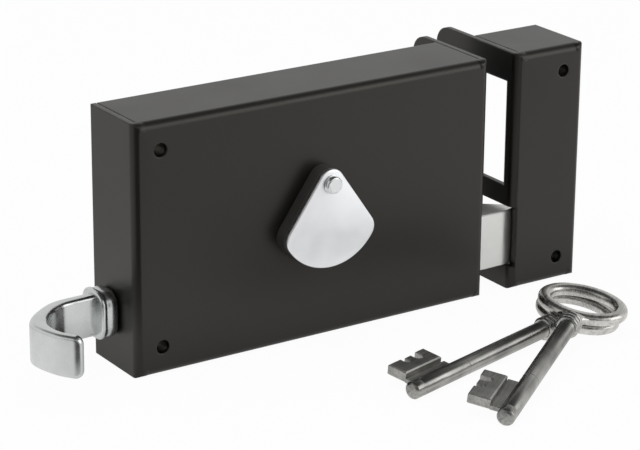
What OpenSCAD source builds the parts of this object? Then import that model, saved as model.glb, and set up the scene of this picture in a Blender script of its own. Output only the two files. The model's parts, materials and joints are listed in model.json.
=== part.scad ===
// Rim box lock with a pull hook, its box keeper and two lever keys, in millimetres.
// The key's axis lies on Y through the origin, and the mounting face of the case is y = 0.
// +X points to the keeper, +Y into the door, and +Z is up.

/* [Case] */
// Length of the case over its fore-end
case_w = 140; // [134:1:152]
// Height of the case and of the keeper
case_h = 87; // [80:1:90]
// Depth of the case from its mounting face to its front
case_d = 28; // [27.5:0.5:31]
// Thickness of the folded sheet
sheet = 2; // [1.5:0.25:2.25]
// Distance from the key's axis to the outside of the fore-end
backset = 69; // [66:0.5:74]
// Outer radius of the long bends of the folded boxes
bend_r = 2.8; // [2.4:0.1:4]
// Outer radius of the upright bends of the folded boxes
side_bend_r = 3.2; // [2.4:0.1:4]
// Outer radius of the bend at the fore-end
fore_bend_r = 2.4; // [2.3:0.1:3]
// Width of the open seams between two flanges
seam = 0.4; // [0.3:0.1:0.8]
// How far the fore-end runs past the mounting face
fore_lap = 14; // [11:0.5:18]
// Corner radius of the two laps
lap_r = 6.5; // [4:0.5:8]
// Thickness of the back plate
plate_t = 1.5; // [1:0.25:2]

/* [Fixing] */
// Distance of the case screw holes from the ends and edges of the case
hole_inset = 9.7; // [8.8:0.1:10]
// Radius of the case screw holes
hole_r = 2.4; // [2:0.1:2.6]
// Radius of the keeper screw holes
keeper_hole_r = 2.3; // [2:0.1:2.5]
// Distance of the keeper screw holes from its right side
keeper_hole_x = 9; // [7.5:0.1:10]
// Distance of the keeper screw holes from its top and bottom
keeper_hole_z = 8.8; // [7:0.1:10]
// Radius of the screw holes in the two laps
lap_hole_r = 2.1; // [1.8:0.1:2.4]
// Height of the lap screw holes above and below the key's axis
lap_hole_z = 22; // [16:1:26]

/* [Key cover] */
// Height of the cover's pivot above the key's axis
pivot_z = 13.2; // [11.6:0.1:13.6]
// Radius of the cover's round top
cover_top_r = 5.1; // [4.5:0.1:6]
// Distance from the pivot to the lowest point of the cover's edge
cover_r = 29.4; // [28:0.2:30]
// Radius of the cover's lower edge
cover_arc_r = 20; // [18:0.5:23]
// Half the opening angle of the cover's sides
cover_angle = 35; // [32:1:37]
// Corner radius of the cover
cover_corner_r = 5.2; // [4:0.2:6]
// Thickness of the cover
cover_t = 1.6; // [1.2:0.1:2]
// Thickness of the base under the cover
base_t = 5; // [4:0.5:6]
// Radius of the cover's rivet
rivet_r = 1.9; // [1.6:0.1:2.1]

/* [Latch] */
// Height of the latch's middle above the bottom of the case
latch_up = 19; // [17.5:0.5:19.5]
// Height of the latch head
latch_h = 20.5; // [17:0.5:21]
// Depth of the latch head from front to back
latch_d = 15; // [13:0.5:16]
// How far the latch stands out of the fore-end
latch_out = 15.5; // [12:0.5:16]
// Travel of the latch when the hook is pulled
latch_travel = 15; // [11:0.5:15]
// Radius of the rod that joins the latch head to the hook
rod_r = 2.75; // [2.5:0.05:3]
// Distance of the rod's axis from the mounting face
rod_y = 10.5; // [10:0.25:12]
// Radius of the wire of the latch spring
wire_r = 0.7; // [0.5:0.05:0.9]
// Number of curls of the latch spring
curls = 8; // [6:1:9]

/* [Pull hook] */
// Thickness of the hook
hook_t = 5.2; // [4.4:0.1:6]
// Height of the hook
hook_h = 14; // [11:0.5:15]
// Radius of the hook's bend on its middle line
hook_r = 15; // [12:0.2:16]
// Angle of the hook's bend
hook_turn = 139; // [110:1:150]
// Straight length of the hook's arm
hook_arm = 10.4; // [6:0.2:14]
// Width of the hook's collar
collar_w = 14; // [12:0.5:15]
// Length of the hook's collar along the rod
collar_l = 6.4; // [5:0.2:8]

/* [Deadbolt and levers] */
// Height of the deadbolt's head
bolt_h = 34; // [30:1:36]
// Depth of the deadbolt's head from front to back
bolt_d = 12; // [10:0.5:12.5]
// Travel of the deadbolt for one turn of the key
turn_throw = 11; // [10:0.5:11]
// Thickness of the deadbolt's tail
tail_t = 4; // [3:0.25:4.5]
// Thickness of one lever
lever_t = 1.8; // [1.4:0.1:1.9]
// Angle that a lever can be lifted by
lift = 3.5; // [2.5:0.25:3.5]

/* [Keeper] */
// Gap between the fore-end and the keeper
keeper_gap = 12.3; // [11:0.1:14]
// Width of the keeper
keeper_w = 29.5; // [27:0.5:34]
// How far the keeper's plate runs past the mounting face
keeper_lap = 19.5; // [13:0.5:20]

/* [Keys] */
// Radius of the key's shank
shank_r = 3; // [2.6:0.1:3.4]
// Length of the shank from its tip to its collar
shank_l = 69; // [62:0.5:72]
// Reach of the bit from the shank's axis
bit_r = 14.5; // [13.5:0.25:14.5]
// Length of the bit along the shank
bit_l = 17.8; // [16:0.2:19.6]
// Thickness of the bit
bit_t = 2.7; // [2:0.1:3]
// Half the width of the bow on its middle line
bow_a = 13.5; // [12:0.5:15]
// Half the length of the bow on its middle line
bow_b = 9.8; // [9:0.2:11]
// Width of the bow's ring
ring_w = 4; // [3.4:0.1:4.4]
// Thickness of the bow's ring
ring_t = 3.7; // [3:0.1:4]

/* [Hidden] */
$fn = 48;

// Clearance of pieces that slide past each other
slip = 0.3;
// Clearance of a pin that turns in its hole
turn_fit = 0.06;
// Clearance of pieces that lie on each other
rest_gap = 0.05;
// Extra depth of a cut
cut = 1;

ground = -case_h / 2;
left_x = backset - case_w;
front_y = -case_d;
inner_front = front_y + sheet;
inner_back = -plate_t;
inner_top = case_h / 2 - sheet;

hole_x = left_x + hole_inset;
hole_z = case_h / 2 - hole_inset;
pillar_r = 3.2;
screw_r = 1.5;
screw_l = 9;
sleeve_r = min(hole_r + 1.5, hole_z - case_h / 2 + latch_up - rod_r - 0.4);

keyhole_r = shank_r + 0.4;
keyhole_w = bit_t + 0.9;
keyhole_drop = bit_r + 0.6;

base_front = front_y - base_t;
cover_back = base_front - 0.2;
cover_front = cover_back - cover_t;
arc_drop = cover_r - cover_arc_r;
corner_d = cover_arc_r - cover_corner_r;
// Least step that keeps two touching curves from meeting at a tangent
touch = 0.002;
corner_off = cover_top_r - cover_corner_r;
corner_along = arc_drop * cos(cover_angle)
    + sqrt(pow(corner_d, 2) - pow(corner_off + arc_drop * sin(cover_angle), 2));

latch_z = ground + latch_up;
latch_front = inner_front + 1;
latch_back = latch_front + latch_d;
latch_nose = backset + latch_out;
latch_l = 30;
latch_left = latch_nose - latch_l;
latch_round = 3;
latch_boss = -rod_y + rod_r + 1.2;
rod_end = left_x - 0.4 - collar_l + 1.4;

bracket_t = 2;
bracket_x = 17;
spring_x0 = bracket_x + bracket_t + slip;
spring_x1 = latch_left - slip;
coil_r = rod_r + wire_r + 0.9;

crank_arm = 20;
crank_x = -25;
crank_z = latch_z + crank_arm;
crank_t = 3;
crank_front = inner_front + 2.8;
crank_back = crank_front + crank_t;
crank_half = atan(latch_travel / 2 / crank_arm);
peg_r = 1.6;
peg_x = crank_x + latch_travel / 2;

collar_right = left_x - 0.4;
collar_left = collar_right - collar_l;
collar_h = hook_h + 2;
bend_x = collar_left - hook_arm;
bend_y = -rod_y - hook_r;
hook_round = 1.6;

throw = 2 * turn_throw;
talon_half = 8;
talon_z = sqrt(bit_r * bit_r - talon_half * talon_half);
tail_front = inner_front + 4.5;
tail_back = tail_front + tail_t;
bolt_top = inner_top - 10;
tail_top = bolt_top - 0.5;
bolt_front = tail_front - 0.5;
bolt_back = bolt_front + bolt_d;
bolt_left = 42;
bolt_end = backset - 0.5;
bolt_post_x = -8;
bolt_post_z = (bit_r + 0.7 + tail_top) / 2;
bolt_post_r = 2.5;

stump_x = 10;
stump_w = 5;
stump_z0 = 20;
stump_z1 = 24;
lever_x = -46;
lever_z = 19;
lever_pin_r = 2.5;
lever_end = 39;
lever_top = 30;
leaf_x = 2;
lever_step = lever_t + 0.2;
lever_y0 = tail_back + slip;
lever_y1 = lever_y0 + 4 * lever_step;
window_x0 = stump_x - stump_w / 2 - 0.5;
window_x1 = stump_x + stump_w / 2 + throw + 1;
window_low = stump_z0 - slip - (window_x1 - lever_x) * sin(lift);
belly = [11.9, 12.4, 12.1, 12.7];

keeper_x = backset + keeper_gap;
keeper_right = keeper_x + keeper_w;
keeper_sleeve_r = 3.8;

tip_l = 4.8;
web_t = bit_t - 1;
collar_r = shank_r + 1;
collar_x = shank_l + 7.8;
bow_x = collar_x + bow_b + ring_w / 2 - 0.3;

// Keys as laid on the ground: x, y, heading, tilt and roll
lay_1 = [-4.9, -88.7, 14.3, 1, 6];
lay_2 = [7.5, -121.9, 35.3, 4.1, 8];

// Rod along Y from y0 to y1 at x, z
module rod_along_y(x, z, r, y0, y1)
    translate([x, y0, z])
        rotate([-90, 0, 0])
            cylinder(r = r, h = y1 - y0);

// Rod along X from x0 to x1 at y, z
module rod_along_x(y, z, r, x0, x1)
    translate([x0, y, z])
        rotate([0, 90, 0])
            cylinder(r = r, h = x1 - x0);

// Flat outline in X and Z, extruded from y0 to y1
module plate_xz(y0, y1)
    translate([0, y1, 0])
        rotate([90, 0, 0])
            linear_extrude(height = y1 - y0)
                children();

// Box from its two corners
module box(low, high)
    translate(low)
        cube(high - low);

// Rectangle of w by h about the origin, with round corners
module round_rect(w, h, r) {
    square([w - 2 * r, h], center = true);
    square([w, h - 2 * r], center = true);
    for (x = [-1, 1], y = [-1, 1])
        translate([x * (w / 2 - r), y * (h / 2 - r)])
            circle(r = r);
}

// Bent strip with legs along X and Y and its outer corner at the origin
module bend_profile(r, a, b) {
    translate([r, 0])
        square([a - r, sheet]);
    translate([0, r])
        square([sheet, b - r]);
    intersection() {
        translate([r, r])
            difference() {
                circle(r = r);
                if (r > sheet)
                    circle(r = r - sheet);
            }
        square([r, r]);
    }
}

// Front wall with its top and bottom flanges, as an outline in Y and Z
module channel_profile(d, h) {
    for (s = [0, 1])
        mirror([0, s])
            translate([-d, -h / 2])
                bend_profile(bend_r, d, h / 2 + 0.5);
}

// Round off the back corners of a lap that ends at y1
module lap_cut(x0, x1, y1, h) {
    for (s = [-1, 1])
        difference() {
            translate([x0 - cut, y1 - lap_r, s > 0 ? h / 2 - lap_r : -h / 2 - cut])
                cube([x1 - x0 + 2 * cut, lap_r + cut, lap_r + cut]);
            rod_along_x(y1 - lap_r, s * (h / 2 - lap_r), lap_r, x0 - 2 * cut, x1 + 2 * cut);
        }
}

// Round off the front corners of the side walls to follow the top and bottom bends
module corner_cut(x0, x1, d, h) {
    r = bend_r - 0.25;
    for (s = [-1, 1])
        difference() {
            translate([x0 - cut, -d - cut, s > 0 ? h / 2 - r : -h / 2 - cut])
                cube([x1 - x0 + 2 * cut, r + cut, r + cut]);
            rod_along_x(r - d, s * (h / 2 - r), r, x0 - 2 * cut, x1 + 2 * cut);
        }
}

// Box folded from one sheet, open at the back, with a seam beside each open flange
module folded_box(x0, x1, d, h, left_r, right_r, left_lap, right_lap) {
    difference() {
        union() {
            translate([x0 + sheet - 0.1, 0, 0])
                rotate([90, 0, 90])
                    linear_extrude(height = x1 - x0 - 2 * sheet + 0.2)
                        channel_profile(d, h);
            translate([x0, -d, -h / 2])
                linear_extrude(height = h)
                    bend_profile(left_r, left_r + 1, d + left_lap);
            translate([x1, -d, -h / 2])
                mirror([1, 0, 0])
                    linear_extrude(height = h)
                        bend_profile(right_r, right_r + 1, d + right_lap);
        }
        for (s = [-1, 1]) {
            z0 = s > 0 ? h / 2 - sheet - 0.01 : -h / 2 - cut;
            translate([x0 + sheet, -d + left_r, z0])
                cube([seam, d - left_r + cut, sheet + cut + 0.01]);
            if (right_lap > 0)
                translate([x1 - sheet - seam, -d + right_r + 1, z0])
                    cube([seam, d - right_r - 1 + cut, sheet + cut + 0.01]);
        }
        corner_cut(x0, x1, d, h);
        if (left_lap > 0)
            lap_cut(x0, x0 + sheet, left_lap, h);
        if (right_lap > 0)
            lap_cut(x1 - sheet, x1, right_lap, h);
    }
}

// Keyhole outline in X and Z about the key's axis
module keyhole() {
    circle(r = keyhole_r);
    translate([-keyhole_w / 2, -keyhole_drop])
        square([keyhole_w, keyhole_drop]);
}

// Countersunk screw hole through a lap, wide at x0
module lap_hole(x0, dir, y, z) {
    translate([x0, y, z])
        rotate([0, dir * 90, 0]) {
            translate([0, 0, -cut])
                cylinder(r = lap_hole_r, h = sheet + 2 * cut);
            translate([0, 0, -0.01])
                cylinder(r1 = lap_hole_r + 1.3, r2 = lap_hole_r, h = 1.3);
        }
}

// Outline of the key cover and its base, about the pivot
module cover_outline() {
    dx = sin(cover_angle);
    dz = cos(cover_angle);
    low = [0, -arc_drop];
    side = [for (s = [-1, 1]) [s * (corner_off * dz + corner_along * dx),
        corner_off * dx - corner_along * dz]];
    circle(r = cover_top_r);
    for (corner = side)
        translate(corner)
            circle(r = cover_corner_r);
    polygon([(cover_top_r - touch) * [-dz, dx], side[0] + (cover_corner_r - touch) * [-dz, dx],
        side[0], side[1], side[1] + (cover_corner_r - touch) * [dz, dx],
        (cover_top_r - touch) * [dz, dx]]);
    intersection() {
        translate(low)
            circle(r = cover_arc_r - touch);
        polygon([low, low + 3 * (side[0] - low), low + 3 * (side[1] - low)]);
    }
}

module case_shell()
    color("#3a3937")
        difference() {
            folded_box(left_x, backset, case_d, case_h, side_bend_r, fore_bend_r, 0, fore_lap);
            for (s = [-1, 1]) {
                rod_along_y(hole_x, s * hole_z, hole_r, front_y - cut, inner_front + cut);
                lap_hole(backset, -1, fore_lap / 2 + 0.5, s * lap_hole_z);
            }
            plate_xz(front_y - cut, inner_front + cut)
                keyhole();
            rod_along_y(0, pivot_z, rivet_r, front_y - cut, inner_front + cut);
            base_rivet_places()
                rod_along_y(0, 0, 1.5, front_y - cut, inner_front + cut);
            box([backset - sheet - cut, latch_front - slip, latch_z - latch_h / 2 - slip],
                [backset + cut, latch_back + slip, latch_z + latch_h / 2 + slip]);
            box([backset - sheet - cut, bolt_front - slip, bolt_top - bolt_h - slip],
                [backset + cut, bolt_back + slip, bolt_top + slip]);
            rod_along_x(-rod_y, latch_z, rod_r + slip, left_x - cut, left_x + sheet + cut);
        }

module pillar_places()
    for (p = [[hole_x + 21.6, inner_top - pillar_r - 1], [backset - 17, inner_top - pillar_r - 1],
        [hole_x + 17.6, -inner_top + pillar_r + 0.4], [backset - 35, -inner_top + pillar_r + 0.4]])
        translate([p[0], 0, p[1]])
            children();

module back_plate()
    color("#55534f")
        difference() {
            box([left_x + sheet + 0.2, inner_back, -inner_top + 0.2],
                [backset - sheet - 0.2, 0, inner_top - 0.2]);
            plate_xz(inner_back - cut, cut)
                keyhole();
            for (s = [-1, 1])
                rod_along_y(hole_x, s * hole_z, hole_r, inner_back - cut, cut);
            pillar_places()
                screw_shape(0.4);
        }

// Countersunk screw along Y with its head flush at y = 0
module screw_shape(over)
    rotate([90, 0, 0]) {
        translate([0, 0, -over])
            cylinder(r = pillar_r - 0.3, h = over);
        cylinder(r1 = pillar_r - 0.3, r2 = screw_r, h = pillar_r - 0.3 - screw_r);
        cylinder(r = screw_r, h = screw_l);
    }

module back_screws()
    color("#b8b6b0")
        pillar_places()
            difference() {
                screw_shape(0);
                translate([-0.4, -0.8, -2.2])
                    cube([0.8, 1, 4.4]);
            }

module pillars()
    color("#8c8a86")
        pillar_places()
            difference() {
                rod_along_y(0, 0, pillar_r, inner_front, inner_back);
                rod_along_y(0, 0, screw_r, -screw_l, inner_back + cut);
            }

module screw_sleeves()
    color("#8c8a86")
        for (s = [-1, 1])
            difference() {
                rod_along_y(hole_x, s * hole_z, sleeve_r, inner_front, inner_back);
                rod_along_y(hole_x, s * hole_z, hole_r, inner_front - cut, inner_back + cut);
            }

module lever_post()
    color("#a7a5a0") {
        rod_along_y(lever_x, lever_z, lever_pin_r + 1.8, inner_front, lever_y0 - rest_gap);
        rod_along_y(lever_x, lever_z, lever_pin_r, inner_front + cut, inner_back);
    }

module lever_bush()
    color("#a7a5a0")
        difference() {
            rod_along_y(lever_x, lever_z, lever_pin_r + 1.8, lever_y1, inner_back);
            rod_along_y(lever_x, lever_z, lever_pin_r, lever_y1 - cut, inner_back + cut);
        }

module bolt_post()
    color("#a7a5a0") {
        rod_along_y(bolt_post_x, bolt_post_z, bolt_post_r + 1.5, inner_front, tail_front - slip);
        rod_along_y(bolt_post_x, bolt_post_z, bolt_post_r, inner_front + cut, tail_back);
    }

module spring_bracket()
    color("#8c8a86")
        difference() {
            box([bracket_x, inner_front, -inner_top], [bracket_x + bracket_t, -5, latch_z + 9]);
            rod_along_x(-rod_y, latch_z, rod_r + slip, bracket_x - cut, bracket_x + bracket_t + cut);
        }

module crank_post()
    color("#a7a5a0") {
        rod_along_y(crank_x, crank_z, 4.2, inner_front, crank_front - slip);
        rod_along_y(crank_x, crank_z, 2.5, inner_front + cut, crank_back + 1);
        rod_along_y(crank_x, crank_z, 4, crank_back + slip, crank_back + slip + 1.2);
    }

// Bell crank that lets the key draw the latch: its fork holds the peg on the latch rod
module latch_crank()
    color("#9a9892")
        translate([crank_x, 0, crank_z])
            difference() {
                union() {
                    plate_xz(crank_front, crank_back) {
                        circle(r = 5.2);
                        translate([0, -2])
                            square([14, 6]);
                        translate([14, 1])
                            circle(r = 3);
                        rotate(crank_half)
                            translate([-5, -crank_arm - 4])
                                square([10, crank_arm + 4]);
                    }
                }
                rod_along_y(0, 0, 2.5 + turn_fit, crank_front - cut, crank_back + cut);
                plate_xz(crank_front - cut, crank_back + cut)
                    rotate(crank_half)
                        translate([-peg_r - slip, -crank_arm - 5])
                            square([2 * (peg_r + slip), 9]);
            }

// Lever with its window for the stump and its belly over the key
module lever(i)
    color(["#b58f4a", "#b08a44", "#bb9550", "#ad8640"][i]) {
        y0 = lever_y0 + i * lever_step;
        difference() {
            plate_xz(y0, y0 + lever_t) {
                difference() {
                    union() {
                        translate([lever_x, lever_z])
                            circle(r = 6);
                        polygon([[lever_x, lever_z - 6], [-16, 13.4], [lever_end, 13.4],
                            [lever_end, lever_top], [-16, lever_top], [lever_x, lever_z + 6]]);
                        intersection() {
                            translate([0, belly[i] + 30])
                                circle(r = 30);
                            translate([-16, 8])
                                square([32, 10]);
                        }
                    }
                    translate([window_x0, window_low])
                        square([window_x1 - window_x0, stump_z1 + slip - window_low]);
                    translate([window_x1 - stump_w - 1.5, stump_z0])
                        square([stump_w + 1.5, stump_z1 + 2.6 - stump_z0]);
                }
            }
            rod_along_y(lever_x, lever_z, lever_pin_r + turn_fit, y0 - cut, y0 + lever_t + cut);
        }
    }

module lever_1() lever(0);
module lever_2() lever(1);
module lever_3() lever(2);
module lever_4() lever(3);

// Leaf spring from the top flange down to the back of a lever
module leaf(i)
    color("#7d8288") {
        y0 = lever_y0 + i * lever_step + 0.3;
        plate_xz(y0, y0 + lever_t - 0.6)
            polygon([[leaf_x, lever_top + rest_gap], [leaf_x + 2, lever_top + rest_gap],
                [lever_end - 5, inner_top - 0.5], [lever_end + 5, inner_top - 0.5],
                [lever_end + 5, inner_top], [lever_end - 6, inner_top], [leaf_x + 1, lever_top + 0.6]]);
    }

module lever_spring_1() leaf(0);
module lever_spring_2() leaf(1);
module lever_spring_3() leaf(2);
module lever_spring_4() leaf(3);

// Deadbolt with its two talon notches and the slot for its guide post
module deadbolt()
    color("#c2c0ba")
        difference() {
            union() {
                box([bolt_left, bolt_front, bolt_top - bolt_h], [bolt_end, bolt_back, bolt_top]);
                box([bolt_post_x - throw - 6, tail_front, talon_z], [bolt_left + 1, tail_back, tail_top]);
            }
            for (n = [0, 1])
                box([-talon_half - n * turn_throw, tail_front - cut, talon_z - cut],
                    [talon_half - (n + 1) * turn_throw, tail_back + cut, bit_r + 0.7]);
            for (x = [bolt_post_x - throw, bolt_post_x])
                rod_along_y(x, bolt_post_z, bolt_post_r + slip, tail_front - cut, tail_back + cut);
            box([bolt_post_x - throw, tail_front - cut, bolt_post_z - bolt_post_r - slip],
                [bolt_post_x, tail_back + cut, bolt_post_z + bolt_post_r + slip]);
        }

module bolt_stump()
    color("#c2c0ba")
        box([stump_x - stump_w / 2, tail_back, stump_z0],
            [stump_x + stump_w / 2, lever_y1 + 0.2, stump_z1]);

// Latch head with its round nose and its bevel on the door side
module latch_head()
    color("#d4d3cd")
        difference() {
            translate([0, 0, latch_z - latch_h / 2])
                linear_extrude(height = latch_h) {
                    polygon([[latch_left, latch_front], [latch_nose - latch_round, latch_front],
                        [latch_nose - latch_round, latch_front + latch_round],
                        [latch_nose, latch_front + latch_round],
                        [latch_nose, latch_front + latch_round + 1.5], [backset + 1, latch_back],
                        [latch_left + 9, latch_back], [latch_left + 9, latch_boss],
                        [latch_left, latch_boss]]);
                    translate([latch_nose - latch_round, latch_front + latch_round])
                        circle(r = latch_round);
                }
            rod_along_x(-rod_y, latch_z, rod_r, latch_left - cut, latch_left + 8);
        }

module latch_rod()
    color("#c9c8c2")
        difference() {
            rod_along_x(-rod_y, latch_z, rod_r, rod_end, latch_left + 8);
            rod_along_y(peg_x, latch_z, peg_r, -rod_y - rod_r - cut, -rod_y);
            translate([collar_right - collar_l / 2, -rod_y, latch_z - collar_h])
                cylinder(r = 1, h = 2 * collar_h);
        }

module latch_peg()
    color("#a7a5a0")
        rod_along_y(peg_x, latch_z, peg_r, crank_front, -rod_y);

// Point of the latch spring's middle line after the turn t in degrees
function coil_at(t) = [spring_x0 + wire_r + (spring_x1 - spring_x0 - 2 * wire_r) * t / (360 * curls),
    -rod_y + coil_r * cos(t), latch_z + coil_r * sin(t)];
coil_n = 8 * curls;
coil_path = [for (i = [0 : coil_n]) coil_at(i * 45)];
coil_points = [for (i = [0 : coil_n], j = [0 : 5])
    let (t = i * 45, out = [0, cos(t), sin(t)])
    coil_path[i] + wire_r * (cos(j * 60) * out + sin(j * 60) * [1, 0, 0])];
coil_gap = min([for (i = [0 : coil_n - 8], k = [6 : 8]) norm(coil_path[i] - coil_path[i + k])])
    - 2 * wire_r;
echo(latch_spring_gap = coil_gap);

module latch_spring()
    color("#8f9499")
        polyhedron(points = coil_points, faces = concat(
            [for (j = [1 : 4]) [0, j, j + 1]],
            [for (j = [1 : 4]) [6 * coil_n, 6 * coil_n + j + 1, 6 * coil_n + j]],
            [for (i = [0 : coil_n - 1], j = [0 : 5])
                [6 * i + j, 6 * i + 6 + j, 6 * i + 6 + (j + 1) % 6]],
            [for (i = [0 : coil_n - 1], j = [0 : 5])
                [6 * i + j, 6 * i + 6 + (j + 1) % 6, 6 * i + (j + 1) % 6]]));

// Section of the hook: a tall bar with round edges
module hook_section()
    round_rect(hook_t, hook_h, hook_round);

// Cast hook: collar with a lip, straight arm and a wide bend that ends in a round tip
module pull_hook()
    color("#cfd0cd")
        difference() {
            translate([0, 0, latch_z]) {
                translate([collar_left, -rod_y, 0])
                    rotate([90, 0, 90]) {
                        linear_extrude(height = 1.8)
                            round_rect(collar_w, collar_h, 4.5);
                        linear_extrude(height = collar_l)
                            round_rect(collar_w - 1.2, collar_h - 1.2, 4);
                    }
                translate([bend_x, -rod_y, 0])
                    rotate([90, 0, 90])
                        linear_extrude(height = hook_arm + 1)
                            hook_section();
                translate([bend_x, bend_y, 0])
                    rotate([0, 0, 90]) {
                        rotate_extrude(angle = hook_turn)
                            translate([hook_r, 0])
                                hook_section();
                        rotate([0, 0, hook_turn])
                            translate([hook_r, 0, 0])
                                rotate_extrude()
                                    intersection() {
                                        hook_section();
                                        translate([0, -hook_h])
                                            square([hook_t, 2 * hook_h]);
                                    }
                    }
            }
            rod_along_x(-rod_y, latch_z, rod_r, rod_end, collar_right + cut);
            translate([collar_right - collar_l / 2, -rod_y, latch_z - collar_h])
                cylinder(r = 1, h = 2 * collar_h);
        }

module hook_pin()
    color("#a7a5a0")
        translate([collar_right - collar_l / 2, -rod_y, latch_z - collar_h / 2 + 0.6])
            cylinder(r = 1, h = collar_h - 1.2);

module base_rivet_places()
    for (s = [-1, 1])
        translate([s * 10, 0, -3])
            children();

module cover_base()
    color("#2c2b2a")
        difference() {
            translate([0, 0, pivot_z])
                plate_xz(base_front, front_y)
                    cover_outline();
            plate_xz(base_front - cut, front_y + cut)
                keyhole();
            rod_along_y(0, pivot_z, rivet_r, base_front - cut, front_y + cut);
            base_rivet_places() {
                rod_along_y(0, 0, 1.5, base_front - cut, front_y + cut);
                rod_along_y(0, 0, 2.5, base_front - cut, base_front + 1);
            }
        }

module base_rivets()
    color("#8c8a86")
        base_rivet_places() {
            rod_along_y(0, 0, 2.5, base_front, base_front + 1);
            rod_along_y(0, 0, 1.5, base_front + 0.5, inner_front + 0.5);
            rod_along_y(0, 0, 2.4, inner_front, inner_front + 0.8);
        }

module key_cover()
    color("#dfe1e2")
        difference() {
            translate([0, 0, pivot_z])
                plate_xz(cover_front, cover_back)
                    cover_outline();
            rod_along_y(0, pivot_z, rivet_r + turn_fit, cover_front - cut, cover_back + cut);
        }

// Rivet of the cover: a flat round head on a step, the shank and the head formed inside the case
module cover_rivet()
    color("#c9cbcb")
        translate([0, 0, pivot_z])
            rotate([90, 0, 0])
                rotate_extrude()
                    difference() {
                        polygon([[0, -inner_front - 0.9], [3, -inner_front - 0.9], [3, -inner_front],
                            [rivet_r, -inner_front], [rivet_r, -cover_front + 0.15],
                            [3.2, -cover_front + 0.15], [3.2, -cover_front + 0.6],
                            [2.9, -cover_front + 0.6], [2.9, -cover_front + 1.8],
                            [2.5, -cover_front + 2.2], [0, -cover_front + 2.2]]);
                    }

module keeper_shell()
    color("#353432")
        difference() {
            folded_box(keeper_x, keeper_right, case_d, case_h, side_bend_r, fore_bend_r, keeper_lap, 0);
            for (s = [-1, 1]) {
                rod_along_y(keeper_right - keeper_hole_x, s * (case_h / 2 - keeper_hole_z),
                    keeper_hole_r, front_y - cut, inner_front + cut);
                lap_hole(keeper_x, 1, keeper_lap / 2 + 0.5, s * lap_hole_z);
            }
            box([keeper_x - cut, front_y - cut, latch_z - latch_h / 2 - slip],
                [keeper_x + sheet, latch_back + 2, latch_z + latch_h / 2 + 1.5]);
            box([keeper_x - cut, front_y + 5.6, bolt_top - bolt_h - 3],
                [keeper_x + sheet + cut, bolt_back + 2, bolt_top + 1.2]);
        }

module keeper_sleeves()
    color("#8c8a86")
        for (s = [-1, 1])
            difference() {
                rod_along_y(keeper_right - keeper_hole_x, s * (case_h / 2 - keeper_hole_z),
                    keeper_sleeve_r, inner_front, 0);
                rod_along_y(keeper_right - keeper_hole_x, s * (case_h / 2 - keeper_hole_z),
                    keeper_hole_r, inner_front - cut, cut);
            }

// Place and outward direction on the bow's middle line after the turn t in degrees
function bow_at(t) = [bow_b * cos(t), bow_a * sin(t), 0];
function bow_out(t) =
    let (v = [bow_a * cos(t), bow_b * sin(t), 0])
    v / norm(v);

// Section of the bow's ring after the turn u: outward and upward, flat-sided with round edges
function ring_at(u) =
    let (c = cos(u), s = sin(u))
    [ring_w / 2 * sign(c) * sqrt(abs(c)), ring_t / 2 * sign(s) * sqrt(abs(s))];

// Bow: an oval ring swept along its middle line
module bow() {
    n = 48;
    m = 12;
    points = [for (i = [0 : n - 1], j = [0 : m - 1])
        let (t = i * 360 / n, r = ring_at((j + 0.5) * 360 / m))
        bow_at(t) + r[0] * bow_out(t) + [0, 0, r[1]]];
    polyhedron(points = points, faces = concat(
        [for (i = [0 : n - 1], j = [0 : m - 1])
            [m * i + j, m * i + (j + 1) % m, m * ((i + 1) % n) + (j + 1) % m]],
        [for (i = [0 : n - 1], j = [0 : m - 1])
            [m * i + j, m * ((i + 1) % n) + (j + 1) % m, m * ((i + 1) % n) + j]]));
}

// Bit: a thick outer flag on a thinner web, with round-bottomed cuts for the levers
module key_bit() {
    difference() {
        union() {
            box([tip_l, 0, -bit_t / 2], [tip_l + bit_l + 1.6, shank_r + 3.6, -bit_t / 2 + web_t]);
            box([tip_l, shank_r + 3.5, -bit_t / 2], [tip_l + bit_l, bit_r, bit_t / 2]);
        }
        translate([tip_l + bit_l * 0.39, bit_r - 1.9, -bit_t]) {
            cylinder(r = bit_l * 0.055, h = 2 * bit_t);
            translate([-bit_l * 0.055, 0, 0])
                cube([bit_l * 0.11, 4, 2 * bit_t]);
        }
        translate([tip_l + bit_l * 0.69, bit_r - 2, -bit_t]) {
            cylinder(r = bit_l * 0.085, h = 2 * bit_t);
            translate([-bit_l * 0.085, 0, 0])
                cube([bit_l * 0.17, 4, 2 * bit_t]);
        }
        box([tip_l - cut, bit_r - 0.3, -bit_t], [tip_l + bit_l * 0.36, bit_r + cut, bit_t]);
        box([tip_l + bit_l * 0.36, bit_r - 0.6, -bit_t], [tip_l + bit_l * 0.66, bit_r + cut, bit_t]);
    }
}

// Key along X with its tip at the origin and its bit toward +Y
module key_form() {
    rotate([90, 0, 90])
        rotate_extrude()
            polygon([[0, 0], [shank_r - 0.6, 0], [shank_r, 0.6], [shank_r, tip_l - 0.6],
                [shank_r - 0.25, tip_l - 0.4], [shank_r - 0.25, tip_l - 0.1], [shank_r, tip_l],
                [shank_r, shank_l], [collar_r - 0.5, shank_l], [collar_r, shank_l + 0.4],
                [collar_r, shank_l + 1], [collar_r - 0.7, shank_l + 1.4],
                [collar_r - 0.7, shank_l + 1.9], [collar_r, shank_l + 2.3],
                [collar_r, shank_l + 2.9], [collar_r - 0.7, shank_l + 3.3],
                [collar_r - 0.7, shank_l + 3.6], [collar_r - 0.2, shank_l + 4],
                [collar_r - 0.2, shank_l + 4.5], [ring_t / 2, collar_x], [ring_t / 2, collar_x + 2],
                [0, collar_x + 2]]);
    key_bit();
    translate([collar_x + 0.6, 0, 0])
        cube([2.4, 9, ring_t * 0.8], center = true);
    translate([bow_x, 0, 0])
        bow();
}

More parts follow.
